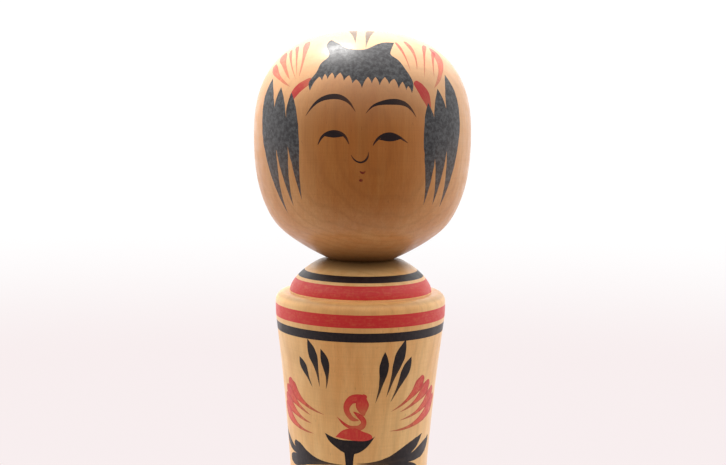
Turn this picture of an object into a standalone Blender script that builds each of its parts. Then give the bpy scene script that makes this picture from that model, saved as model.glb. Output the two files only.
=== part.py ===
"""Turned wooden kokeshi doll in two pieces: a head with a captive tenon that turns in a socket in the body.

Metres, +Z up, the face towards -Y. The origin is the centre of the base, on the surface the doll stands on.
Both pieces are lathe work, so each is one closed profile turned about the Z axis.
"""

import math

import bpy
from mathutils import Vector

MM = 0.001

# Lathe work: flat facets round each turned piece, and points on each curved stretch of a profile
FACETS = 48
CURVE_POINTS = 6

# Driving dimensions
TOTAL_HEIGHT = 242 * MM
BODY_HEIGHT = 159.6 * MM
HEAD_GAP = 0.3 * MM
HEAD_RADIUS = 39.3 * MM
EQUATOR_HEIGHT = 204 * MM
CROWN_FULLNESS = 2.5
NECK_RADIUS = 12.8 * MM
LAND_RADIUS = 14.5 * MM
DOME_RADIUS = 26.1 * MM
DOME_RISE = 11.6 * MM
SHOULDER_RADIUS = 31.2 * MM
SHOULDER_ROUNDING = 3.4 * MM
BASE_RADIUS = 28.2 * MM
BASE_ROUNDING = 2 * MM

# The side of the body, from under the shoulder to above the base, as (radius, height)
BODY_SIDE = [
    (31.1 * MM, 140 * MM),
    (30.3 * MM, 133 * MM),
    (29.2 * MM, 124 * MM),
    (27.9 * MM, 112 * MM),
    (26.3 * MM, 94 * MM),
    (25.1 * MM, 76 * MM),
    (24.5 * MM, 58 * MM),
    (24.9 * MM, 40 * MM),
    (26.2 * MM, 22 * MM),
]

# The tenon under the head, and the socket that holds it
TENON_NECK_RADIUS = 8.8 * MM
TENON_NECK_LENGTH = 8 * MM
TENON_BULB_RADIUS = 10.4 * MM
TENON_BULB_LENGTH = 7 * MM
TENON_LENGTH = 23 * MM
TENON_TIP_RADIUS = 6.5 * MM
TENON_TAPER = 1.6 * MM
SOCKET_CLEARANCE = 0.3 * MM


def arc(centre, radii, start_deg, end_deg, points=CURVE_POINTS):
    """Points on an ellipse about centre, as (radius, height), with both ends."""
    made = []
    for i in range(points + 1):
        angle = math.radians(start_deg + (end_deg - start_deg) * i / points)
        made.append((centre[0] + radii[0] * math.cos(angle), centre[1] + radii[1] * math.sin(angle)))
    return made


def bezier(start, start_handle, end_handle, end, points=CURVE_POINTS):
    """Points on a cubic Bezier curve, with both ends."""
    corners = [Vector(p) for p in (start, start_handle, end_handle, end)]
    made = []
    for i in range(points + 1):
        t = i / points
        weights = ((1 - t) ** 3, 3 * t * (1 - t) ** 2, 3 * t * t * (1 - t), t**3)
        made.append(tuple(sum((w * p for w, p in zip(weights, corners)), Vector((0, 0)))))
    return made


def crown_outline():
    """The top half of the head, a superellipse from the pole down to the equator."""
    rise = TOTAL_HEIGHT - EQUATOR_HEIGHT
    rings = 2 * CURVE_POINTS
    made = [(0, TOTAL_HEIGHT)]
    for i in range(1, rings + 1):
        angle = math.pi / 2 * i / rings
        radius = HEAD_RADIUS * math.sin(angle) ** (2 / CROWN_FULLNESS)
        height = rise * max(math.cos(angle), 0) ** (2 / CROWN_FULLNESS)
        made.append((radius, EQUATOR_HEIGHT + height))
    return made


def chin_outline():
    """The lower half of the head, from the equator down to the rim that faces the body."""
    cheek = (32.05 * MM, EQUATOR_HEIGHT - 30 * MM)
    rim = (NECK_RADIUS, BODY_HEIGHT + HEAD_GAP + 0.5 * MM)
    upper = bezier(
        (HEAD_RADIUS, EQUATOR_HEIGHT),
        (HEAD_RADIUS, EQUATOR_HEIGHT - 14.6 * MM),
        (cheek[0] + 4.4 * MM, cheek[1] + 6.6 * MM),
        cheek,
    )
    lower = bezier(
        cheek,
        (cheek[0] - 3.6 * MM, cheek[1] - 5.4 * MM),
        (rim[0] + 5.6 * MM, rim[1] + 2.8 * MM),
        rim,
    )
    return upper[1:] + lower[1:]


def tenon_outline(top, neck_radius, bulb_radius, grow):
    """The tenon's outline from its root down to its axis.

    The socket is the same outline, grown by its clearance.
    """
    neck_end = top - TENON_NECK_LENGTH + grow
    bulb_start = neck_end - TENON_TAPER
    bulb_end = bulb_start - TENON_BULB_LENGTH - 2 * grow
    tip = top - TENON_LENGTH - grow
    return [
        (neck_radius, neck_end),
        (bulb_radius, bulb_start),
        (bulb_radius, bulb_end),
        (TENON_TIP_RADIUS + grow, tip),
        (0, tip),
    ]


def head_profile():
    underside = BODY_HEIGHT + HEAD_GAP
    rim_rounding = [(NECK_RADIUS - 0.8 * MM, underside), (TENON_NECK_RADIUS, underside)]
    tenon = tenon_outline(BODY_HEIGHT, TENON_NECK_RADIUS, TENON_BULB_RADIUS, 0)
    return crown_outline() + chin_outline() + rim_rounding + tenon


def socket_outline():
    """The undercut socket, from its floor on the axis up to its mouth."""
    walls = tenon_outline(
        BODY_HEIGHT,
        TENON_NECK_RADIUS + SOCKET_CLEARANCE,
        TENON_BULB_RADIUS + SOCKET_CLEARANCE,
        SOCKET_CLEARANCE,
    )
    return walls[::-1] + [(TENON_NECK_RADIUS + SOCKET_CLEARANCE, BODY_HEIGHT)]


def dome_outline():
    """The small dome between the neck and the shoulder, from its flat land down to the ledge."""
    ledge = BODY_HEIGHT - DOME_RISE
    return bezier(
        (LAND_RADIUS, BODY_HEIGHT),
        (LAND_RADIUS + 4 * MM, BODY_HEIGHT - 1.4 * MM),
        (DOME_RADIUS, ledge + 4.5 * MM),
        (DOME_RADIUS, ledge),
        CURVE_POINTS + 2,
    )


def shoulder_outline():
    """The flat ledge round the dome, and the rounded edge of the shoulder."""
    ledge = BODY_HEIGHT - DOME_RISE
    centre = (SHOULDER_RADIUS - SHOULDER_ROUNDING, ledge - SHOULDER_ROUNDING)
    return arc(centre, (SHOULDER_ROUNDING, SHOULDER_ROUNDING), 90, 0)


def smooth_through(points, steps=2):
    """A Catmull-Rom curve through the points, without the first and the last one, which only steer it."""
    made = []
    corners = [Vector(p) for p in points]
    for a, b, c, d in zip(corners, corners[1:], corners[2:], corners[3:]):
        for i in range(steps):
            t = i / steps
            bend = 2 * a - 5 * b + 4 * c - d
            twist = 3 * b - a - 3 * c + d
            made.append(tuple((2 * b + (c - a) * t + bend * t * t + twist * t**3) / 2))
    made.append(points[-2])
    return made


def base_outline():
    centre = (BASE_RADIUS - BASE_ROUNDING, BASE_ROUNDING)
    return arc(centre, (BASE_ROUNDING, BASE_ROUNDING), 0, -90, 4) + [(0, 0)]


def body_profile():
    shoulder = shoulder_outline()
    base = base_outline()
    side = smooth_through([shoulder[-2], shoulder[-1], *BODY_SIDE, base[0], base[1]])
    return socket_outline() + dome_outline() + shoulder[:-1] + side[:-1] + base


def wood(name, colour, roughness):
    material = bpy.data.materials.new(name)
    material.use_nodes = True
    shader = material.node_tree.nodes["Principled BSDF"]
    shader.inputs["Base Color"].default_value = (*colour, 1)
    shader.inputs["Roughness"].default_value = roughness
    shader.inputs["Metallic"].default_value = 0
    return material


def turned(name, profile, material):
    """One lathe-turned piece: the profile's points joined in a line and screwed round the Z axis."""
    mesh = bpy.data.meshes.new(name)
    mesh.from_pydata([(r, 0, z) for r, z in profile], [(i, i + 1) for i in range(len(profile) - 1)], [])
    mesh.materials.append(material)
    piece = bpy.data.objects.new(name, mesh)
    bpy.context.scene.collection.objects.link(piece)
    lathe = piece.modifiers.new("Lathe", "SCREW")
    lathe.axis = "Z"
    lathe.steps = FACETS
    lathe.render_steps = FACETS
    lathe.use_merge_vertices = True
    lathe.merge_threshold = 0.01 * MM
    lathe.use_smooth_shade = True
    return piece


def main():
    for old in list(bpy.data.objects):
        bpy.data.objects.remove(old)
    turned("body", body_profile(), wood("body_wood", (0.72, 0.47, 0.25), 0.35))
    head = turned("head", head_profile(), wood("head_wood", (0.56, 0.29, 0.12), 0.33))
    neck_pivot = bpy.data.objects.new("neck_pivot", None)
    bpy.context.scene.collection.objects.link(neck_pivot)
    head.parent = neck_pivot


main()
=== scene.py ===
"""The looks of a turned kokeshi doll: two pieces of waxed wood with brush work on them.

Each CAD node is replaced by a fine mesh, turned from the node's own outline and cut along the edges of the
brush strokes, so that the paint lies flush with the wood. Azimuths are in degrees from the front (-Y),
positive towards +X. Other measures are in millimetres until a mesh is made.
"""

import math
from typing import NamedTuple

import bpy
import numpy as np
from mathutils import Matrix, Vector
from mathutils.geometry import delaunay_2d_cdt
from mathutils.kdtree import KDTree


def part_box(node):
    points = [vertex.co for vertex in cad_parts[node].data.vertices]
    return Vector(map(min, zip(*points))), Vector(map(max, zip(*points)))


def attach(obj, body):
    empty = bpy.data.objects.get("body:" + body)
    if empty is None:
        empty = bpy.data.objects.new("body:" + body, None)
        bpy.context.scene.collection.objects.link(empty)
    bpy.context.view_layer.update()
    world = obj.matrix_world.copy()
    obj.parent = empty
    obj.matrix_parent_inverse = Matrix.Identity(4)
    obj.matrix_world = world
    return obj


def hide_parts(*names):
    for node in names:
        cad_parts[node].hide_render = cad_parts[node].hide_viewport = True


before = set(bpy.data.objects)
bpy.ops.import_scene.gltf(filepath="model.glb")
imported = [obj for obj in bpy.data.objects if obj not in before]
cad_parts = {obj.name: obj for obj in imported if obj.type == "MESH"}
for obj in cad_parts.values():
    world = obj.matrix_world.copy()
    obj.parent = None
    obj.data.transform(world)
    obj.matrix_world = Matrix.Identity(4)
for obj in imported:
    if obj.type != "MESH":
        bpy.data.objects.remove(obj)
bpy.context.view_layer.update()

MM = 0.001
SEAM = 112.0  # the azimuth where a turned mesh closes, clear of every stroke
FACE = -1.0  # the azimuth that the face looks to
BOUQUET = -6.0  # the azimuth of the flowers' stems
GRID = 1.0  # spacing of the mesh between the strokes
FINE = 0.05  # spacing of the points on a smooth outline
CORNER = math.radians(26)  # an outline that bends more than this at a point has a corner there
AXIS_HOLE = 0.8  # radius round the axis that is closed by a fan of triangles
BODY_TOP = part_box("body")[1].z / MM

hand = np.random.default_rng(8)


# Outlines and the map of a turned surface


def spline(knots, values, at):
    """The natural cubic spline that has these values at the knots, worked out at other places."""
    knots, values, at = np.asarray(knots, float), np.asarray(values, float), np.asarray(at, float)
    gaps = np.diff(knots)
    slopes = np.diff(values, axis=0) / gaps[:, None]
    system = np.eye(len(knots))
    bends = np.zeros_like(values)
    for i in range(1, len(knots) - 1):
        system[i, i - 1 : i + 2] = gaps[i - 1], 2 * (gaps[i - 1] + gaps[i]), gaps[i]
        bends[i] = 6 * (slopes[i] - slopes[i - 1])
    bends = np.linalg.solve(system, bends)
    k = np.clip(np.searchsorted(knots, at, side="right") - 1, 0, len(gaps) - 1)
    gap = gaps[k][:, None]
    before = (knots[k + 1] - at)[:, None] / gap
    after = 1 - before
    curve = (before**3 - before) * bends[k] + (after**3 - after) * bends[k + 1]
    return before * values[k] + after * values[k + 1] + curve * gap**2 / 6


def chords(points):
    """The distance run along a line of points, at each of them."""
    steps = np.diff(np.asarray(points, float), axis=0)
    return np.concatenate([[0.0], np.cumsum(np.sqrt((steps**2).sum(axis=1)))])


def node_outline(node):
    """The (radius, height) points of a turned node's section at +X, from its upper end to its lower one."""
    links = {}
    vertices = node.data.vertices
    for edge in node.data.edges:
        ends = [vertices[i].co / MM for i in edge.vertices]
        if all(abs(p.y) < 0.002 and p.x > -0.002 for p in ends):
            a, b = [(round(abs(p.x), 3), round(p.z, 3)) for p in ends]
            if a != b:
                links.setdefault(a, set()).add(b)
                links.setdefault(b, set()).add(a)
    ends = sorted((p for p in links if len(links[p]) == 1), key=lambda p: p[1], reverse=True)
    outline = [ends[0]]
    while len(outline) < len(links):
        outline.append(next(p for p in links[outline[-1]] if p not in outline[-2:]))
    return outline


class Turning:
    """A stretch of turned surface: its smooth outline, and a flat map of it.

    The map has the azimuth in radians across, and the sum of step / radius down. Small shapes keep their
    angles on it, and a length w at the radius r is w / r there.
    """

    def __init__(self, outline):
        self.runs, self.radii, self.heights, self.normals = [], [], [], []
        run = 0.0
        for stretch in self.split(outline):
            points = self.rounded(stretch)
            runs = run + chords(points)
            run = runs[-1]
            tangents = np.gradient(points, runs, axis=0)
            tangents /= np.linalg.norm(tangents, axis=1)[:, None]
            self.runs.append(runs)
            self.radii.append(points[:, 0])
            self.heights.append(points[:, 1])
            self.normals.append(np.stack([-tangents[:, 1], tangents[:, 0]], axis=1))
        self.run, self.radius, self.height = map(np.concatenate, (self.runs, self.radii, self.heights))
        steps = np.diff(self.run) * 2 / np.maximum(self.radius[1:] + self.radius[:-1], 2 * AXIS_HOLE / 3)
        self.down = np.concatenate([[0.0], np.cumsum(steps)])

    @staticmethod
    def split(outline):
        """The outline in stretches, each from one corner to the next."""
        stretches = [[outline[0]]]
        for before, point, after in zip(outline, outline[1:], outline[2:]):
            stretches[-1].append(point)
            turn = Vector(after) - Vector(point)
            if (Vector(point) - Vector(before)).angle(turn) > CORNER or after[0] == 0:
                stretches.append([point])
        stretches[-1].append(outline[-1])
        return stretches

    @staticmethod
    def rounded(stretch):
        """Closely spaced points along a smooth line through the stretch's own points."""
        knots = np.array(stretch, float)
        crown = knots[0, 0] == 0 and len(knots) > 3
        if crown:
            knots = np.concatenate([knots[3:0:-1] * (-1, 1), knots])
        runs = chords(knots)
        start = runs[3] if crown else 0.0
        count = max(4, int((runs[-1] - start) / FINE))
        points = spline(runs, knots, np.linspace(start, runs[-1], count + 1))
        points[:, 0] = np.maximum(points[:, 0], 0)
        return points

    def down_at(self, run):
        return np.interp(run, self.run, self.down)

    def run_at_height(self, height):
        return np.interp(-np.asarray(height, float), -self.height, self.run)

    def radius_at(self, down):
        return np.interp(down, self.down, self.radius)

    def place(self, azimuth, down):
        """Points of the surface, in millimetres, from azimuths in radians and places down the map."""
        radius = self.radius_at(down)
        height = np.interp(down, self.down, self.height)
        return np.stack([radius * np.sin(azimuth), -radius * np.cos(azimuth), height], axis=-1)

    def rows(self):
        """The runs of the mesh's rows for each stretch: closer together where the outline bends."""
        found = []
        for runs, radii, normals in zip(self.runs, self.radii, self.normals):
            bend = np.abs(np.diff(np.unwrap(np.arctan2(normals[:, 1], normals[:, 0]))))
            steps = np.maximum(np.diff(runs) / GRID, bend / math.radians(7))
            effort = np.concatenate([[0.0], np.cumsum(steps)])
            count = max(1, round(effort[-1]))
            rows = np.interp(np.linspace(0, effort[-1], count + 1), effort, runs)
            found.append(rows[np.interp(rows, runs, radii) >= AXIS_HOLE])
        return found


# Brush strokes

# How much ink a stroke holds: 1 covers the wood, less lets it show through, and more makes the ink deeper
THIN = 0.8
HEART = 2.6
FACE_LINE = 4.0
CORD = 4.8
MOUTH = 6.0
RING_LOAD = {"black": 1, "red": 4}
OVERLAP = 0.35  # what each further stroke over the same place adds
STROKE_SHIFT = 31.7  # how far apart the strokes lie in the noise that makes the bristles


class Stroke:
    """A closed patch of ink on the map.

    spine is its middle line as (azimuth, down, width, run) rows, or None for a wash. load is how much ink it
    holds.
    """

    def __init__(self, ink, load, outline, spine=None):
        self.ink = ink
        self.load = load
        turn = sum(a[0] * b[1] - b[0] * a[1] for a, b in zip(outline, np.roll(outline, -1, axis=0)))
        self.outline = outline if turn > 0 else outline[::-1]
        self.spine = spine


def on_map(surface, azimuth, run):
    """Places on the map from azimuths in degrees and distances run down the outline."""
    left = SEAM - 360
    return np.stack([np.radians((np.asarray(azimuth) - left) % 360 + left), surface.down_at(run)], axis=-1)


def wobble(count, rough):
    """Small smooth wandering, as of a hand, one number for each point along an edge."""
    raw = hand.normal(0, rough, count + 8)
    return np.convolve(raw, np.hanning(9) / 4, mode="valid")


def brush(surface, ink, points, rough=0.02, closeness=0.4, load=1.0):
    """A stroke of the brush through (azimuth, run, width) points. A width of 0 at an end makes a fine tip."""
    points = np.array(points, float)
    knots = on_map(surface, points[:, 0], points[:, 1])
    middle = np.median(surface.radius_at(knots[:, 1]))
    runs = chords(knots) * middle
    count = max(8, int(runs[-1] / closeness))
    at = runs[-1] * (0.5 - 0.5 * np.cos(np.linspace(0, math.pi, count + 1))) * 0.35
    at += runs[-1] * np.linspace(0, 1, count + 1) * 0.65
    spine = spline(runs, np.column_stack([knots, points[:, 2]]), at)
    spine[:, 2] = np.maximum(spine[:, 2], 0)
    radius = surface.radius_at(spine[:, 1])
    along = np.gradient(spine[:, :2], at, axis=0)
    along /= np.linalg.norm(along, axis=1)[:, None]
    aside = np.stack([-along[:, 1], along[:, 0]], axis=1)
    sides = []
    for sign in (1, -1):
        half = spine[:, 2] / 2 * (1 + wobble(len(at), rough) * 3)
        half = half + wobble(len(at), rough) * (spine[:, 2] > 0.3)
        sides.append(spine[:, :2] + sign * aside * (np.maximum(half, 0) / radius)[:, None])
    caps = []
    for end, sign in ((-1, 1), (0, -1)):
        if spine[end, 2] < 0.25:
            caps.append(spine[end : end + 1 or None, :2])
            continue
        turn = np.radians(np.linspace(70, -70, 6))[:, None]
        reach = spine[end, 2] / 2 / radius[end]
        round_end = along[end] * np.cos(turn) * 0.8 + aside[end] * np.sin(turn)
        caps.append(spine[end, :2] + reach * sign * round_end)
    outline = np.concatenate([sides[0][1:-1], caps[0], sides[1][-2:0:-1], caps[1]])
    return Stroke(ink, load, outline, np.column_stack([spine, at]))


def wash(surface, ink, corners, rough=0.03, closeness=0.4, load=1.0):
    """A filled patch with a smooth edge through (azimuth, run) points. One given twice is a sharp corner."""
    knots = on_map(surface, *np.array(corners, float).T)
    sharp = [i for i in range(len(knots)) if (knots[i] == knots[i - 1]).all()]
    if not sharp:
        knots = np.concatenate([knots, knots[:1]])
        parts = [np.concatenate([knots[-4:-1], knots, knots[1:4]])]
    else:
        knots = np.roll(knots, -sharp[0], axis=0)
        cuts = [i - sharp[0] for i in sharp] + [len(knots)]
        parts = [knots[a:b] for a, b in zip(cuts, cuts[1:])]
    middle = np.median(surface.radius_at(knots[:, 1]))
    outline = []
    for part in parts:
        runs = chords(part) * middle
        start, end = (runs[3], runs[-4]) if not sharp else (0, runs[-1])
        count = max(2, int((end - start) / closeness))
        outline.append(spline(runs, part, np.linspace(start, end, count, endpoint=False)))
    outline = np.concatenate(outline)
    return Stroke(ink, load, outline + np.stack([wobble(len(outline), rough)] * 2, axis=1) / middle)


# How wide a stroke is on its way from start to end: (share of the way, share of its full width)
BLUNT = [(0, 0.65), (0.14, 1), (0.3, 0.8), (0.48, 0.46), (0.65, 0.26), (0.82, 0.15), (1, 0)]
LONG = [(0, 0.75), (0.12, 1), (0.3, 0.92), (0.5, 0.58), (0.7, 0.38), (0.87, 0.24), (1, 0)]
POINTED = [(0, 0), (0.17, 0.78), (0.33, 1), (0.5, 0.72), (0.68, 0.35), (0.85, 0.18), (1, 0)]
SLENDER = [
    (0, 0), (0.11, 0.62), (0.25, 0.92), (0.4, 1), (0.57, 0.77), (0.72, 0.48), (0.85, 0.24), (1, 0),
]


def sweep(start, bend, end, width, pressure):
    """A stroke's points along a parabola, which leaves its start towards the bend and comes in from there."""
    made = []
    for share, press in pressure:
        weights = ((1 - share) ** 2, 2 * share * (1 - share), share**2)
        place = [sum(w * p for w, p in zip(weights, axis)) for axis in zip(start, bend, end)]
        made.append((*place, width * press))
    return made


# The painting on the head: places are degrees from the face's middle, and millimetres from the crown down the
# surface

# The bangs' edge over the crown, from the tail at the left temple round to the tail at the right one
BANGS = [
    (-28.5, 44.5), (-25.5, 41), (-24, 37), (-21, 34.5), (-21.5, 32.5), (-26, 29), (-27.5, 26.5),
    (-27, 24.5), (-21.5, 26), (-16.5, 27.5), (-12.5, 29.5), (-8, 30.5), (2.5, 30.5), (9.5, 28),
    (18.5, 26), (25.5, 26), (25.5, 26), (19.5, 31), (18.5, 33), (21.5, 35), (25, 39), (28, 45),
]
# The fringe: the tips of the brush marks from left to right, and the tops of the gaps between them
FRINGE_TIPS = [
    (-27, 47.5), (-21, 44), (-18, 43.5), (-14, 43.5), (-9, 44), (-4.5, 45), (0.5, 46.5), (5.5, 45),
    (9.5, 45.5), (14.5, 45), (19.5, 46.5), (23.5, 47), (26.5, 48),
]
FRINGE_GAPS = [
    (-23, 42.5), (-20, 41.5), (-16, 41), (-11.5, 41), (-6.5, 42), (-2.5, 43.5), (3.5, 42.5), (7.5, 42.5),
    (12.5, 42.5), (17.5, 43), (22, 44), (25, 45.5),
]
# The locks from left to right: start, bend and end of the sweep, and its width
LOCKS = [
    ((-59.5, 42.5), (-53, 66), (-46.5, 90), 9),
    ((-47.5, 46), (-43, 66), (-39.5, 87), 7),
    ((-38.5, 48), (-34.5, 66), (-32.5, 84.5), 5.5),
    ((35.5, 51), (37, 69), (36.5, 86), 5.5),
    ((43.5, 46), (44, 66), (43, 86), 7),
    ((54, 40.5), (54, 64), (49.5, 87), 8.5),
]
TUFTS = [
    [(-5, 27.5, 0), (-7, 22, 1.2), (-12, 16, 2.5), (-19, 11, 2.8)],
    [(2.5, 30, 0), (4, 24, 1.2), (7, 17.5, 2.5), (13, 12, 2.8)],
]


def fringe_edge():
    """The bangs' lower edge from right to left, sharp at each brush mark's tip and in the gap beside it."""
    edge = []
    for number in range(len(FRINGE_TIPS) - 1, -1, -1):
        tip = FRINGE_TIPS[number]
        if number < len(FRINGE_GAPS):
            gap = FRINGE_GAPS[number]
            edge += [gap, gap, beside_tip(gap, tip)]
        edge += [tip, tip]
        if number > 0:
            edge.append(beside_tip(FRINGE_GAPS[number - 1], tip))
    return edge


def beside_tip(gap, tip):
    """A point between a gap and a tip that makes the brush mark's side bulge a little."""
    return (gap[0] * 0.42 + tip[0] * 0.58, gap[1] * 0.6 + tip[1] * 0.4)


def turned_to(azimuth, shape):
    """A shape's points with their azimuths counted from another one."""
    return [(azimuth + point[0], *point[1:]) for point in shape]


def hair(surface):
    """Bangs with a ragged fringe and two lobes, three locks at each side, and two strokes to the crown."""
    strokes = [wash(surface, "black", turned_to(FACE, BANGS + fringe_edge()), 0.02, 0.3)]
    strokes += [brush(surface, "black", turned_to(FACE, sweep(*lock, SLENDER))) for lock in LOCKS]
    strokes += [brush(surface, "black", turned_to(FACE, tuft), load=THIN) for tuft in TUFTS]
    return strokes


BROWS = [
    [(-28, 56, 0.1), (-21.5, 51, 1.2), (-15, 49.5, 1.8), (-9, 50, 1.5), (-5, 52, 0.7), (-2.5, 54.5, 0.1)],
    [(2.5, 55, 0.1), (6, 52.5, 0.7), (10, 51.5, 1.3), (16, 51, 2), (23, 52, 1.3), (28, 56, 0.1)],
]
LIDS = [
    [(-21, 65.5, 0.2), (-19, 63, 0.8), (-13.5, 61, 0.9), (-7.5, 62.5, 0.9), (-5.5, 65, 0.3)],
    [(6, 65.5, 0.2), (8, 63.5, 0.8), (14, 61.5, 0.9), (20, 63, 0.8), (23.5, 64.5, 0.2)],
]
PUPILS = [
    [(-18, 62.5), (-18, 62.5), (-13.5, 61), (-8, 62.5), (-8, 62.5), (-13, 63)],
    [(9, 63.5), (9, 63.5), (14, 61.5), (20.5, 63), (20.5, 63), (15, 64)],
]
NOSE = [(-4.5, 68.5, 0.1), (-3, 70, 0.4), (0.5, 71, 0.6), (3.5, 69.5, 0.6), (4, 67.5, 0.1)]
LIPS = [
    [(0, 74, 0.3), (1.5, 74.5, 0.8), (2.5, 74, 0.4)],
    [(0, 77, 0.8), (0.5, 77, 1), (1, 77, 0.8)],
]


def face(surface):
    """Brows, half-moon eyes, a short nose and a small red mouth."""
    lines = BROWS + LIDS + [NOSE]
    strokes = [brush(surface, "black", turned_to(FACE, line), 0.01, 0.25, FACE_LINE) for line in lines]
    strokes += [wash(surface, "black", turned_to(FACE, pupil), 0.01, 0.25, FACE_LINE) for pupil in PUPILS]
    strokes += [brush(surface, "red", turned_to(FACE, lip), 0.01, 0.2, MOUTH) for lip in LIPS]
    return strokes


BANDS = [
    [(-37.5, 49.5, 2.6), (-35.5, 47.5, 3), (-28, 44, 2.4)],
    [(30, 44.5, 2.4), (33.5, 47.5, 3.8), (36, 53, 1.4)],
]
# The plumes at the left temple and then at the right one: start, bend and end of the sweep, and its width
PLUMES = [
    ((-67.5, 37.5), (-54, 42), (-40.5, 46), 2.8),
    ((-69, 32), (-55.5, 35.5), (-42, 43.5), 3.6),
    ((-62, 30), (-50, 34), (-37.5, 43.5), 1.3),
    ((-59, 28), (-45.5, 31.5), (-38, 42), 1.5),
    ((-51, 25.5), (-36.5, 32), (-36, 43), 2.5),
    ((62, 29), (55.5, 37.5), (41, 46), 4.4),
    ((59.5, 30.5), (48, 33), (43, 42.5), 1.5),
    ((58, 26.5), (43, 29.5), (36, 42.5), 1.6),
    ((37, 25), (37, 32), (32.5, 39.5), 1.8),
    ((27, 26), (28, 33), (28, 40), 1.2),
]
BACK_BAND = [(-9, 38.6, 1.8), (0, 39.6, 3.0), (9, 38.6, 1.8)]


def ribbons(surface):
    """The red cords that tie the hair: bands at the temples and the back, with a fan of plumes over each."""
    strokes = [brush(surface, "red", turned_to(FACE, band), load=CORD) for band in BANDS]
    strokes += [brush(surface, "red", turned_to(FACE, sweep(*plume, LONG)), load=THIN) for plume in PLUMES]
    for side in range(-2, 3):
        plume = [
            (side * 21, 19 + abs(side) * 1.6, 3.4),
            (side * 15, 24 + abs(side), 3.2),
            (side * 7, 31, 1.6),
            (side * 2.6, 37, 0.5),
        ]
        strokes.append(brush(surface, "red", turned_to(FACE + 180, plume), load=THIN))
    strokes.append(brush(surface, "red", turned_to(FACE + 180, BACK_BAND), load=CORD))
    return strokes


# The painting on the body: places are millimetres across from the stem and up from the flower's cup

# The flowers, as the height of the cup and how large the flower is
FLOWERS = [(99.5, 1.0), (52.0, 1.06)]


def flower(surface, cup, size, shape):
    """Puts a motif's (across, up, ...) points on the body, with the flower's cup at that height."""
    placed = []
    for across, up, *rest in shape:
        height = cup + up * size
        run = surface.run_at_height(height)
        radius = surface.radius_at(surface.down_at(run))
        placed.append((BOUQUET + math.degrees(across * size / radius), run, *(w * size for w in rest)))
    return placed


# Sweeps as start, bend, end and width: the leaves over the upper flower, the petals, and the leaves below
BUD_LEAVES = [
    ((-20.5, 28), (-17.5, 23), (-14.5, 17.5), 3),
    ((-16.5, 35), (-12.5, 26.5), (-11.5, 18), 3.5),
    ((-11, 32), (-7.5, 24.5), (-9, 17.5), 3),
    ((12, 31.5), (12, 22.5), (8.5, 13), 3.5),
    ((20, 35.5), (16, 25), (12.5, 15), 4),
    ((22.5, 29), (19, 21.5), (14, 13), 3.5),
]
PETALS = [
    ((-27, 17.5), (-22.5, 11), (-9.5, 8), 5.5),
    ((-29.5, 14.5), (-24, 10), (-15.5, 7), 5.5),
    ((-31, 11), (-24, 5.5), (-15, 4), 5.5),
    ((-32, 7.5), (-24.5, 0.5), (-14, 0.5), 5),
    ((28.5, 20), (23.5, 13.5), (14, 9.5), 4.5),
    ((32.5, 17.5), (26.5, 11.5), (17.5, 9), 5),
    ((36, 14.5), (29.5, 7.5), (17.5, 6), 5),
    ((38, 11), (28, 2), (13.5, 2.5), 5.5),
]
CURLED_LEAVES = [
    ((-35, -1.5), (-32, -10), (-5.5, -9.5), 3.5),
    ((30, -1), (18, -9.5), (1.5, -9), 4.5),
    ((36, -3), (31, -11), (2.5, -9), 5),
]
BROAD_LEAVES = [
    ((-24.5, -5.5), (-15.5, -10.5), (-2.5, -9.5), 4.5),
    ((-28.5, -12), (-16.5, -10.5), (-4.5, -9.5), 4.5),
    ((-26, -18.5), (-14, -15), (-1.5, -13), 4.5),
    ((27.5, -14.5), (17, -8.5), (4.5, -9), 3.5),
]
CURLS = [
    [(5, 15.5, 1.6), (3, 15, 3), (0.5, 14.5, 3), (-1, 13, 2.6), (-1.5, 11.5, 2.2), (-0.5, 8.5, 1.8),
     (0.5, 7.5, 1.6), (2.5, 7, 0.6)],
    [(4.5, 16, 1.2), (4, 12.5, 4.5), (4.5, 9, 1)],
    [(1, 10, 0.3), (3, 8.5, 1.8), (4.5, 6, 2), (3.5, 4.5, 2.2), (2.5, 4, 1.8)],
    [(-5, 8, 0), (-3.5, 6.5, 0.7), (-0.5, 4.5, 1.2), (3, 4.5, 1.4)],
]
MOUND = [
    (-5.5, 0.5), (-5.5, 0.5), (-3, 3), (-0.5, 4), (2, 4), (4, 3), (7.5, 1), (7.5, -0.5), (7.5, -0.5),
    (1.5, -0.5),
]
CUP = [
    (-9.5, 1.5), (-9.5, 1.5), (-8.5, -0.5), (-5, -3.5), (-2.5, -5), (0, -5.5), (2.5, -5), (6, -2.5),
    (8.5, 1), (8.5, 1), (7, 0), (1.5, -0.5), (-5.5, 0),
]
STEM = [(-0.5, -4.5, 3.8), (-0.5, -7.5, 2.9), (-0.5, -16, 3), (-0.5, -21, 2.4)]


def bouquet(surface):
    """Two flowers, each with a curled heart in a dark cup between fans of petals and leaves."""
    strokes = []
    for cup, size in FLOWERS:
        def put(shape):
            return flower(surface, cup, size, shape)
        strokes += [brush(surface, "red", put(sweep(*petal, BLUNT))) for petal in PETALS]
        strokes += [brush(surface, "red", put(curl), load=HEART) for curl in CURLS]
        strokes.append(wash(surface, "red", put(MOUND), load=HEART))
        strokes += [brush(surface, "black", put(sweep(*leaf, POINTED))) for leaf in CURLED_LEAVES]
        strokes += [brush(surface, "black", put(sweep(*leaf, BLUNT))) for leaf in BROAD_LEAVES]
        strokes.append(brush(surface, "black", put(STEM)))
        strokes.append(wash(surface, "black", put(CUP)))
    bud = [flower(surface, *FLOWERS[0], sweep(*leaf, POINTED)) for leaf in BUD_LEAVES]
    strokes += [brush(surface, "black", leaf) for leaf in bud]
    return strokes


# Ink rings painted while the piece turned, as (upper height, lower height, ink)
BODY_RINGS = [
    (155.9, 153.85, "black"),
    (152.9, 148.35, "red"),
    (144.0, 139.5, "red"),
    (137.7, 134.45, "black"),
    (15.4, 13.4, "black"),
    (11.8, 6.6, "red"),
]


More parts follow.
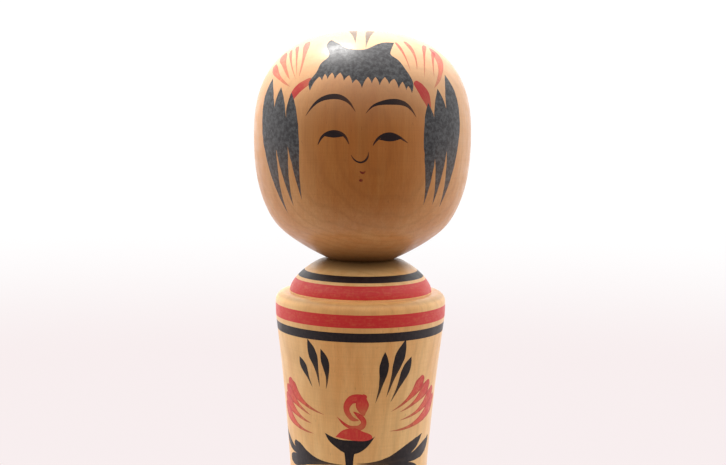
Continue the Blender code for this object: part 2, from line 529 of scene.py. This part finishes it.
# Meshes


def surface_map(surface, strokes, rings):
    """Cuts the surface's map into triangles along every stroke and ring.

    Returns the places, the triangles and, for each triangle, the numbers of the strokes that cover it.
    """
    left = math.radians(SEAM - 360)
    points, edges, faces = [], [], []

    def add_line(line, closed):
        first = len(points)
        points.extend(map(tuple, line))
        count = len(line)
        edges.extend((first + i, first + (i + 1) % count) for i in range(count if closed else count - 1))
        return list(range(first, first + count))

    for stroke in strokes:
        faces.append(add_line(stroke.outline, True))
    tree = KDTree(max(1, len(points)))
    for i, place in enumerate(surface.place(*np.array(points).T) if points else []):
        tree.insert(place, i)
    tree.balance()
    rows = surface.rows()
    ring_runs = [float(surface.run_at_height(height)) for ring in rings for height in ring[:2]]
    row_ends = [run for row in rows if len(row) for run in (row[0], row[-1])]
    firm = sorted({round(run, 6) for run in row_ends + ring_runs})
    loose = [run for row in rows for run in row if min(abs(run - f) for f in firm) > 0.4 * GRID]
    seam = []
    for number, run in enumerate(sorted([*firm, *loose])):
        down = float(surface.down_at(run))
        columns = max(24, round(2 * math.pi * surface.radius_at(down) / GRID))
        azimuths = left + np.arange(columns + 1) * 2 * math.pi / columns
        seam.append(down)
        if run in firm:
            add_line([(azimuth, down) for azimuth in azimuths], False)
            continue
        points += [(azimuths[0], down), (azimuths[-1], down)]
        inner = azimuths[1:-1] if number % 2 else azimuths[1:-2] + math.pi / columns
        for azimuth, place in zip(inner, surface.place(inner, np.full(len(inner), down))):
            if not strokes or tree.find(place)[2] > 0.42 * GRID:
                points.append((azimuth, down))
    for azimuth in (left, left + 2 * math.pi):
        add_line([(azimuth, down) for down in seam], False)
    cut = delaunay_2d_cdt([Vector(p) for p in points], edges, faces, 0, 1e-5, True)
    return np.array([tuple(p) for p in cut[0]]), cut[2], cut[5]


def shares(surface, stroke, places):
    """Where places lie in a stroke.

    Gives the millimetres across and along it, the share of its half width from its spine, and the share of
    its length.
    """
    if stroke.spine is None:
        middle = stroke.outline.mean(axis=0)
        local = (places - middle) * surface.radius_at(middle[1])
        return np.column_stack([local, np.full(len(local), 0.4), np.full(len(local), 0.3)])
    radius = surface.radius_at(stroke.spine[:, 1])
    offsets = (places[:, None, :] - stroke.spine[None, :, :2]) * radius[None, :, None]
    nearest = (offsets**2).sum(axis=2).argmin(axis=1)
    along = np.gradient(stroke.spine[:, :2], axis=0)
    along /= np.linalg.norm(along, axis=1)[:, None]
    offset = offsets[np.arange(len(places)), nearest]
    across = offset[:, 0] * -along[nearest, 1] + offset[:, 1] * along[nearest, 0]
    half = np.maximum(stroke.spine[nearest, 2] / 2, 0.1)
    run = stroke.spine[nearest, 3]
    return np.column_stack([across, run, np.minimum(np.abs(across) / half, 1), run / stroke.spine[-1, 3]])


def turned_piece(name, shown, hidden, strokes, rings):
    """A closed turned mesh: the shown outline cut by its paint, and the hidden outline as plain rings.

    The hidden outline starts where the shown one ends, or ends where it starts.
    """
    surface = Turning(shown)
    painted = strokes(surface)
    places, triangles, owners = surface_map(surface, painted, rings)

    # the seam's two sides become one
    left = math.radians(SEAM - 360)
    keep = np.arange(len(places))
    on_left = {round(places[i, 1], 5): i for i in np.flatnonzero(places[:, 0] < left + 1e-5)}
    for i in np.flatnonzero(places[:, 0] > left + 2 * math.pi - 1e-5):
        keep[i] = min(on_left.items(), key=lambda item: abs(item[0] - places[i, 1]))[1]
    points = list(surface.place(places[:, 0], places[:, 1]))
    faces = [[int(keep[i]) for i in triangle][::-1] for triangle in triangles]
    corners = [places[triangle[::-1]] for triangle in triangles]

    def ring_at(down):
        """The surface's points along one row, in order from the seam."""
        on_row = (abs(places[:, 1] - down) < 1e-5) & (keep == np.arange(len(keep)))
        return [int(i) for i in sorted(np.flatnonzero(on_row), key=lambda i: places[i, 0])]

    def fan(ring, height, upwards):
        points.append(np.array([0, 0, height]))
        for a, b in zip(ring, ring[1:] + ring[:1]):
            faces.append([a, b, len(points) - 1] if upwards else [b, a, len(points) - 1])

    shown_faces = len(faces)
    top, bottom = ring_at(places[:, 1].min()), ring_at(places[:, 1].max())
    inside_below = hidden[0] == shown[-1]
    if inside_below:
        fan(top, shown[0][1], True)
        ring, line = bottom, hidden[1:]
    else:
        fan(bottom, shown[-1][1], False)
        ring, line = top, hidden[-2::-1]
    azimuths = [math.atan2(points[i][0], -points[i][1]) for i in ring]
    for radius, height in line:
        if radius == 0:
            fan(ring, height, not inside_below)
            break
        first = len(points)
        points.extend(np.array([radius * math.sin(a), -radius * math.cos(a), height]) for a in azimuths)
        below = list(range(first, len(points)))
        for i in range(len(ring)):
            j = (i + 1) % len(ring)
            quad = [ring[i], below[i], below[j], ring[j]]
            faces.append(quad if inside_below else quad[::-1])
        ring = below

    mesh = bpy.data.meshes.new(name)
    mesh.from_pydata([tuple(p * MM) for p in points], [], faces)
    piece = bpy.data.objects.new(name, mesh)
    bpy.context.scene.collection.objects.link(piece)
    set_normals(mesh, surface, corners, shown_faces)
    set_ink(mesh, surface, painted, rings, corners, owners)
    return piece


def set_normals(mesh, surface, corners, shown_faces):
    """Gives the shown faces the turned surface's own normals, so that its small triangles don't show."""
    mesh.shade_smooth()
    mesh.set_sharp_from_angle(angle=math.radians(30))
    flat = np.empty(len(mesh.loops) * 3, np.float32)
    mesh.corner_normals.foreach_get("vector", flat)
    normals = flat.reshape(-1, 3).astype(float)
    ends = np.array([surface.down_at(runs[-1]) for runs in surface.runs])
    places = np.array(corners)
    stretch = np.searchsorted(ends, places[:, :, 1].mean(axis=1)).clip(0, len(ends) - 1)
    runs = np.interp(places[:, :, 1], surface.down, surface.run)
    for number, (known, slopes) in enumerate(zip(surface.runs, surface.normals)):
        chosen = np.flatnonzero(stretch == number)
        out = np.interp(runs[chosen], known, slopes[:, 0])
        up = np.interp(runs[chosen], known, slopes[:, 1])
        azimuth = places[chosen, :, 0]
        vectors = np.stack([out * np.sin(azimuth), -out * np.cos(azimuth), up], axis=-1)
        normals[(chosen[:, None] * 3 + np.arange(3)).ravel()] = vectors.reshape(-1, 3)
    mesh.normals_split_custom_set([tuple(n) for n in normals])


def set_ink(mesh, surface, strokes, rings, corners, owners):
    """Writes the paint as attributes: each face's load of each ink, and each corner's place in its stroke."""
    black = np.zeros(len(mesh.polygons), np.float32)
    red = np.zeros(len(mesh.polygons), np.float32)
    places = np.zeros((len(mesh.loops), 4), np.float32)
    top_stroke = {}
    for number, covering in enumerate(owners):
        for ink, coats in (("black", black), ("red", red)):
            loads = [strokes[stroke].load for stroke in covering if strokes[stroke].ink == ink]
            if loads:
                coats[number] = max(loads) + OVERLAP * (len(loads) - 1)
        if covering:
            top_stroke.setdefault(max(covering), []).append(number)
    for stroke, numbers in top_stroke.items():
        loops = (np.array(numbers)[:, None] * 3 + np.arange(3)).ravel()
        where = np.concatenate([corners[n] for n in numbers])
        places[loops] = shares(surface, strokes[stroke], where)
        places[loops, 1] += STROKE_SHIFT * stroke
    middles = np.array([corner[:, 1].mean() for corner in corners])
    for upper, lower, ink in rings:
        start = surface.down_at(surface.run_at_height(upper))
        end = surface.down_at(surface.run_at_height(lower))
        numbers = np.flatnonzero((middles > start) & (middles < end))
        (black if ink == "black" else red)[numbers] = RING_LOAD[ink]
        loops = (numbers[:, None] * 3 + np.arange(3)).ravel()
        where = np.concatenate([corners[n] for n in numbers])
        middle = (start + end) / 2
        radius = surface.radius_at(middle)
        across = (where[:, 1] - middle) * radius
        half = (end - start) / 2 * radius
        along = where[:, 0] * radius + 7 * upper
        places[loops] = np.column_stack([across, along, np.abs(across) / half, np.full(len(across), 0.3)])
    for name, values in (("black_ink", black), ("red_ink", red)):
        mesh.attributes.new(name, "FLOAT", "FACE").data.foreach_set("value", values)
    mesh.attributes.new("brush", "FLOAT_VECTOR", "CORNER").data.foreach_set("vector", places[:, :3].ravel())
    mesh.attributes.new("spent", "FLOAT", "CORNER").data.foreach_set("value", places[:, 3].copy())


# Materials

# The red ink where the brush is fresh, where it is spent, at a stroke's rim, at its end, and where it is
# thick, and the brown that it dries to in the mouth
RED_FRESH = (0.60, 0.020, 0.028, 1)
RED_SPENT = (0.70, 0.070, 0.040, 1)
RED_RIM = (0.46, 0.020, 0.016, 1)
RED_END = (0.44, 0.060, 0.022, 1)
RED_THICK = (0.60, 0.013, 0.020, 1)
MOUTH_BROWN = (0.17, 0.014, 0.004, 1)
# The dense black of the face's lines, and the brown that it thins to at their ends
LINE_BLACK = (0.013, 0.003, 0.004, 1)
LINE_BROWN = (0.060, 0.014, 0.005, 1)
# The pale colour painted over the crown, partly painted light of the lamp over it and partly bleaching, and
# the heights between which that sets in
BLEACHED_AND_LIT = (0.86, 0.60, 0.40, 1)
BLEACHED_AND_LIT_FROM = 203
BLEACHED_AND_LIT_TO = 242
YEAR = 2.7  # spacing of the growth rings


class Look(NamedTuple):
    """What sets one piece's wood and black ink apart from the other's."""

    pale: tuple  # the wood's lightest colour
    amber: tuple  # its deepest one, from which the shades of the grain come
    grain: float  # how strongly the fibres show
    tan: tuple  # what the colour is multiplied by on the side that faces front: partly tanned wood, partly painted shade, as the room lights that side least
    front: float  # how far that side is from the axis
    pith: tuple  # where the grain's centre lies, as (x, y)
    shadows: list  # (height, reach, depth) bands of darker wood: painted shade under the head and in corners, and darker towards the foot
    blacks: tuple  # the black ink where it is thick, and where it is thin


HEAD_LOOK = Look(
    pale=(0.68, 0.35, 0.13),
    amber=(0.60, 0.25, 0.07),
    grain=0.20,
    # the front of the head is darker: partly tanned wood, partly painted shade
    tan=(0.72, 0.54, 0.32),
    front=39,
    pith=(-9, 34),
    # painted shade on the head's underside, next to the body
    shadows=[(159, 12, 0.9)],
    blacks=((0.020, 0.017, 0.019), (0.078, 0.080, 0.083)),
)
BODY_LOOK = Look(
    pale=(0.92, 0.58, 0.25),
    amber=(0.80, 0.43, 0.155),
    grain=0.16,
    # the front of the body is a little darker: partly tanned wood, partly painted shade
    tan=(0.97, 0.82, 0.70),
    front=30,
    pith=(12, 30),
    # painted shadow of the head on the body's top, painted shade in the ledge's corner, and darker towards
    # the foot
    shadows=[(BODY_TOP, 4, 0.95), (147.2, 1.1, 0.35), (0, 4, 0.3)],
    blacks=((0.008, 0.003, 0.005), (0.014, 0.008, 0.010)),
)


class Shader:
    """One material, with short ways to add the nodes that this doll needs.

    Each way returns the new node's output.
    """

    def __init__(self, name):
        self.material = bpy.data.materials.new(name)
        self.material.use_nodes = True
        self.tree = self.material.node_tree
        self.surface = self.tree.nodes["Principled BSDF"]

    def add(self, kind, inputs, output=0, **settings):
        node = self.tree.nodes.new(kind)
        for key, value in settings.items():
            setattr(node, key, value)
        for key, value in inputs.items():
            self.feed(node.inputs[key], value)
        return node.outputs[output]

    def feed(self, socket, value):
        if isinstance(value, bpy.types.NodeSocket):
            self.tree.links.new(value, socket)
        else:
            socket.default_value = value

    def parts(self, vector):
        """A vector's three parts."""
        split = self.tree.nodes.new("ShaderNodeSeparateXYZ")
        self.feed(split.inputs[0], vector)
        return split.outputs

    def maths(self, operation, a, b=0.0):
        return self.add("ShaderNodeMath", {0: a, 1: b}, operation=operation)

    def scaled(self, vector, scale):
        return self.add("ShaderNodeVectorMath", {0: vector, 1: scale}, operation="MULTIPLY")

    def noise(self, vector, scale, detail=2.0, roughness=0.5, distortion=0.0):
        inputs = {"Vector": vector, "Scale": scale, "Detail": detail}
        inputs |= {"Roughness": roughness, "Distortion": distortion}
        return self.add("ShaderNodeTexNoise", inputs)

    def between(self, value, low, high, to_low=0.0, to_high=1.0):
        """Carries a value over from one range to another, with soft ends."""
        inputs = {"Value": value, "From Min": low, "From Max": high, "To Min": to_low, "To Max": to_high}
        return self.add("ShaderNodeMapRange", inputs, interpolation_type="SMOOTHSTEP")

    def mix(self, factor, a, b, blend="MIX"):
        inputs = {0: factor, 6: a, 7: b}
        return self.add("ShaderNodeMix", inputs, output=2, data_type="RGBA", blend_type=blend)

    def attribute(self, name, output="Fac"):
        return self.add("ShaderNodeAttribute", {}, output=output, attribute_name=name)


def shade(colour, share):
    """A darker shade of a colour, with its alpha."""
    return (*(c * share for c in colour), 1)


def growth_rings(s, place, x, y, pith):
    """Narrow bands of late wood round the pith: 1 in the middle of each, and 0 between them."""
    across = s.maths("POWER", s.maths("SUBTRACT", x, pith[0]), 2.0)
    behind = s.maths("POWER", s.maths("SUBTRACT", y, pith[1]), 2.0)
    from_pith = s.maths("SQRT", s.maths("ADD", across, behind))
    drift = s.noise(s.scaled(place, (1, 1, 0.25)), 0.03, 2, 0.5)
    years = s.maths("ADD", s.maths("DIVIDE", from_pith, YEAR), s.maths("MULTIPLY", drift, 5.0))
    wave = s.maths("SINE", s.maths("MULTIPLY", years, 2 * math.pi))
    return s.maths("POWER", s.maths("MULTIPLY", s.maths("ADD", wave, 1.0), 0.5), 5.0)


def bare_wood(s, place, look):
    """The wood's colour, with its fibres and lathe marks, which also give it relief."""
    x, y, z = s.parts(place)
    fibres = s.noise(s.scaled(place, (1, 1, 0.05)), 2.2, 3, 0.6)
    streaks = s.noise(s.scaled(place, (1, 1, 0.03)), 0.36, 3, 0.55, 0.4)
    clouds = s.noise(s.scaled(place, (1, 1, 0.5)), 0.035, 3, 0.55)
    lathe = s.noise(s.scaled(place, (0.004, 0.004, 1)), 1.6, 3, 0.7)
    flecks = s.noise(s.scaled(place, (1, 1, 0.3)), 1.7, 1, 0.5)
    rings = growth_rings(s, place, x, y, look.pith)

    tone = s.maths("ADD", s.maths("MULTIPLY", streaks, 0.55), s.maths("MULTIPLY", clouds, 0.75))
    wood = s.mix(s.between(tone, 0.42, 0.88), (*look.pale, 1), (*look.amber, 1))
    wood = s.mix(s.maths("MULTIPLY", rings, 0.20), wood, shade(look.amber, 0.62))
    wood = s.mix(s.between(fibres, 0.34, 0.7, 0.0, look.grain), wood, shade(look.amber, 0.55))
    wood = s.mix(s.between(flecks, 0.70, 0.80, 0.0, 0.35), wood, shade(look.amber, 0.4))
    wood = s.mix(s.between(lathe, 0.3, 0.75, 0.0, 0.18), wood, shade(look.amber, 0.7))
    # the side that faces front is darkened: partly tanned wood, partly painted shade of the side that the
    # room lights least
    tanned_and_shaded = s.between(s.maths("MULTIPLY", y, -1.0), look.front * 0.70, look.front)
    wood = s.mix(tanned_and_shaded, wood, s.mix(1.0, wood, (*look.tan, 1), "MULTIPLY"))
    # painted light: the wood turns paler towards the crown, where the lamp shines on it, and partly from
    # bleaching
    wood = s.mix(s.between(z, BLEACHED_AND_LIT_FROM, BLEACHED_AND_LIT_TO, 0.0, 0.45), wood, BLEACHED_AND_LIT)
    # painted shade: bands darkened under the head, in the ledge's corner and towards the foot
    for height, reach, depth in look.shadows:
        away = s.maths("ABSOLUTE", s.maths("SUBTRACT", z, height))
        wood = s.mix(s.between(away, 0, reach, depth, 0.0), wood, shade(look.amber, 0.3))
    return wood, fibres, lathe


def red_ink(s, thin, rim, spent, tail):
    """The red ink's colour, and how far it covers the wood."""
    load = s.attribute("red_ink")
    shows_through = s.maths("MULTIPLY", thin, s.between(load, 1.0, 3.0, 0.42, 0.20))
    coat = s.maths("SUBTRACT", 0.97, shows_through)
    coat = s.maths("SUBTRACT", coat, s.maths("MULTIPLY", tail, 0.20))
    coat = s.maths("MULTIPLY", s.maths("MINIMUM", load, 1.0), coat)
    colour = s.mix(s.between(spent, 0.05, 0.60), RED_FRESH, RED_SPENT)
    colour = s.mix(s.between(rim, 0.45, 1.0, 0.0, 0.8), colour, RED_RIM)
    colour = s.mix(s.maths("MULTIPLY", tail, 0.7), colour, RED_END)
    colour = s.mix(s.between(load, 1.0, RING_LOAD["red"]), colour, RED_THICK)
    return s.mix(s.between(load, RING_LOAD["red"], MOUTH), colour, MOUTH_BROWN), coat


def black_ink(s, place, thin, spent, tail, blacks):
    """The black ink's colour, mottled in broad strokes and dense in fine lines, and how far it covers."""
    load = s.attribute("black_ink")
    coat = s.maths("SUBTRACT", 1.0, s.maths("MULTIPLY", thin, 0.02))
    coat = s.maths("SUBTRACT", coat, s.maths("MULTIPLY", tail, 0.12))
    coat = s.maths("MULTIPLY", s.maths("MINIMUM", load, 1.0), coat)
    mottled = s.between(s.noise(place, 0.8, 3, 0.65), 0.34, 0.70)
    colour = s.mix(mottled, (*blacks[0], 1), (*blacks[1], 1))
    near_end = s.between(s.maths("ABSOLUTE", s.maths("SUBTRACT", spent, 0.5)), 0.25, 0.5)
    line_colour = s.mix(near_end, LINE_BLACK, LINE_BROWN)
    return s.mix(s.between(load, 2.2, 3.8), colour, line_colour), coat


def painted_wood(name, look):
    """Aged, waxed wood with grain running up the piece, under the inks that the mesh's attributes place."""
    s = Shader(name)
    place = s.scaled(s.add("ShaderNodeTexCoord", {}, output="Object"), (1 / MM,) * 3)
    wood, fibres, lathe = bare_wood(s, place, look)

    in_stroke = s.attribute("brush", "Vector")
    rim = s.parts(in_stroke)[2]
    spent = s.attribute("spent")
    tail = s.between(spent, 0.4, 1.0)
    bristles = s.noise(s.scaled(in_stroke, (1, 0.10, 0)), 2.2, 3, 0.6)
    patchy = s.noise(place, 0.8, 4, 0.65)
    thin = s.maths("MULTIPLY", s.between(bristles, 0.45, 0.75), 0.5)
    thin = s.maths("ADD", thin, s.between(patchy, 0.42, 0.72, 0.0, 0.45))
    thin = s.maths("MULTIPLY", thin, s.between(rim, 0.55, 1.0, 1.0, 0.35))
    red, red_coat = red_ink(s, thin, rim, spent, tail)
    black, black_coat = black_ink(s, place, thin, spent, tail, look.blacks)
    s.feed(s.surface.inputs["Base Color"], s.mix(black_coat, s.mix(red_coat, wood, red), black))

    inked = s.maths("MAXIMUM", red_coat, black_coat)
    wax = s.between(s.noise(place, 0.25, 3, 0.6), 0.3, 0.7, 0.27, 0.40)
    rough = s.maths("ADD", wax, s.maths("MULTIPLY", inked, 0.10))
    s.feed(s.surface.inputs["Roughness"], s.maths("ADD", rough, s.maths("MULTIPLY", fibres, 0.05)))

    relief = s.maths("ADD", s.maths("MULTIPLY", fibres, 0.022), s.maths("MULTIPLY", lathe, 0.012))
    relief = s.maths("ADD", relief, s.maths("MULTIPLY", inked, s.maths("MULTIPLY", patchy, 0.02)))
    bump = {"Strength": 1.0, "Distance": MM, "Height": relief}
    s.feed(s.surface.inputs["Normal"], s.add("ShaderNodeBump", bump))
    s.surface.inputs["IOR"].default_value = 1.38
    return s.material


# The studio


def camera():
    """A camera at head height in front of the doll, looking a little down."""
    data = bpy.data.cameras.new("camera")
    data.sensor_width = 36
    data.lens = 53.0
    data.clip_start = 0.01
    eye = bpy.data.objects.new("camera", data)
    eye.location = (0.00015, -0.3905, 0.207)
    eye.rotation_euler = (math.radians(90 - 5.5), math.radians(-0.7), 0)
    bpy.context.scene.collection.objects.link(eye)
    bpy.context.scene.camera = eye


def area_light(name, size, power, place, target, colour=(1, 1, 1)):
    data = bpy.data.lights.new(name, "AREA")
    data.shape = "RECTANGLE"
    data.size, data.size_y = size
    data.energy = power
    data.color = colour
    lamp = bpy.data.objects.new(name, data)
    lamp.location = place
    lamp.rotation_euler = (Vector(target) - Vector(place)).to_track_quat("-Z", "Y").to_euler()
    bpy.context.scene.collection.objects.link(lamp)


def ramp(tree, value, low, high, to_low, to_high):
    """A node that carries a value over from one range to another, with soft ends. Returns its output."""
    node = tree.nodes.new("ShaderNodeMapRange")
    node.interpolation_type = "SMOOTHSTEP"
    for name, number in zip(("From Min", "From Max", "To Min", "To Max"), (low, high, to_low, to_high)):
        node.inputs[name].default_value = number
    tree.links.new(value, node.inputs["Value"])
    return node.outputs[0]


def room():
    """A white room that is dim in front of the doll and bright at its sides, over it and behind it."""
    world = bpy.data.worlds.new("studio")
    bpy.context.scene.world = world
    world.use_nodes = True
    tree = world.node_tree
    direction = tree.nodes.new("ShaderNodeTexCoord").outputs["Generated"]
    split = tree.nodes.new("ShaderNodeSeparateXYZ")
    tree.links.new(direction, split.inputs[0])
    sides = ramp(tree, split.outputs["Y"], -0.80, 0.30, 0.33, 1.60)
    ceiling = ramp(tree, split.outputs["Z"], 0.20, 0.85, 0, 0.72)
    ground = ramp(tree, split.outputs["Z"], -0.45, 0.05, 0.80, 1)
    glow = tree.nodes.new("ShaderNodeMath")
    glow.operation = "MULTIPLY_ADD"
    tree.links.new(sides, glow.inputs[0])
    tree.links.new(ground, glow.inputs[1])
    tree.links.new(ceiling, glow.inputs[2])
    seen = tree.nodes.new("ShaderNodeLightPath").outputs["Is Camera Ray"]
    strength = tree.nodes.new("ShaderNodeMix")
    tree.links.new(seen, strength.inputs[0])
    tree.links.new(glow.outputs[0], strength.inputs[2])
    strength.inputs[3].default_value = 1.02
    low = ramp(tree, split.outputs["Z"], -0.21, -0.07, 1, 0)
    tint = tree.nodes.new("ShaderNodeMix")
    tint.data_type = "RGBA"
    tree.links.new(low, tint.inputs[0])
    tint.inputs[6].default_value = (1, 1, 1, 1)
    tint.inputs[7].default_value = (0.92, 0.84, 0.845, 1)
    background = tree.nodes["Background"]
    tree.links.new(tint.outputs[2], background.inputs["Color"])
    tree.links.new(strength.outputs[0], background.inputs["Strength"])


def studio():
    """The room, a lamp over the doll, and a pale floor that fades out into the room."""
    bpy.context.scene.view_settings.view_transform = "Standard"
    room()
    area_light("top_light", (0.16, 0.09), 4.5, (-0.15, 0.10, 0.74), (0, 0, 0.2), (1.0, 0.98, 0.96))

    bpy.ops.mesh.primitive_circle_add(vertices=96, radius=0.24, fill_type="NGON")
    floor = bpy.context.object
    floor.name = "floor"
    pale = Shader("pale_floor")
    place = pale.add("ShaderNodeTexCoord", {}, output="Object")
    cloud = pale.between(pale.noise(place, 3.0), 0.3, 0.7)
    colour = pale.mix(cloud, (0.48, 0.45, 0.455, 1), (0.46, 0.435, 0.44, 1))
    pale.feed(pale.surface.inputs["Base Color"], colour)
    pale.surface.inputs["Roughness"].default_value = 0.7
    far = pale.add("ShaderNodeVectorMath", {0: place}, output="Value", operation="LENGTH")
    pale.feed(pale.surface.inputs["Alpha"], pale.between(far, 0.07, 0.22, 1.0, 0.0))
    floor.data.materials.append(pale.material)


# The doll


def head_painting(surface):
    return ribbons(surface) + hair(surface) + face(surface)


def make_doll():
    """Both pieces, each from its CAD node's outline. The part that shows is painted, the rest is hidden."""
    crown_down = node_outline(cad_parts["head"])
    root = max(i for i, point in enumerate(crown_down) if point[1] > BODY_TOP)
    tenon = crown_down[root:] + [(0, crown_down[-1][1])]
    head = turned_piece("painted_head", crown_down[: root + 1], tenon, head_painting, [])
    head.data.materials.append(painted_wood("head_wood", HEAD_LOOK))

    socket_up = node_outline(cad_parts["body"])
    mouth = min(i for i, point in enumerate(socket_up) if point[1] > BODY_TOP - 0.01)
    socket = [(0, socket_up[0][1])] + socket_up[: mouth + 1]
    outside = socket_up[mouth:] + [(0, socket_up[-1][1])]
    body = turned_piece("painted_body", outside, socket, bouquet, BODY_RINGS)
    body.data.materials.append(painted_wood("body_wood", BODY_LOOK))
    for piece, node in ((head, "head"), (body, "body")):
        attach(piece, node)
        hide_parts(node)


camera()
studio()
make_doll()
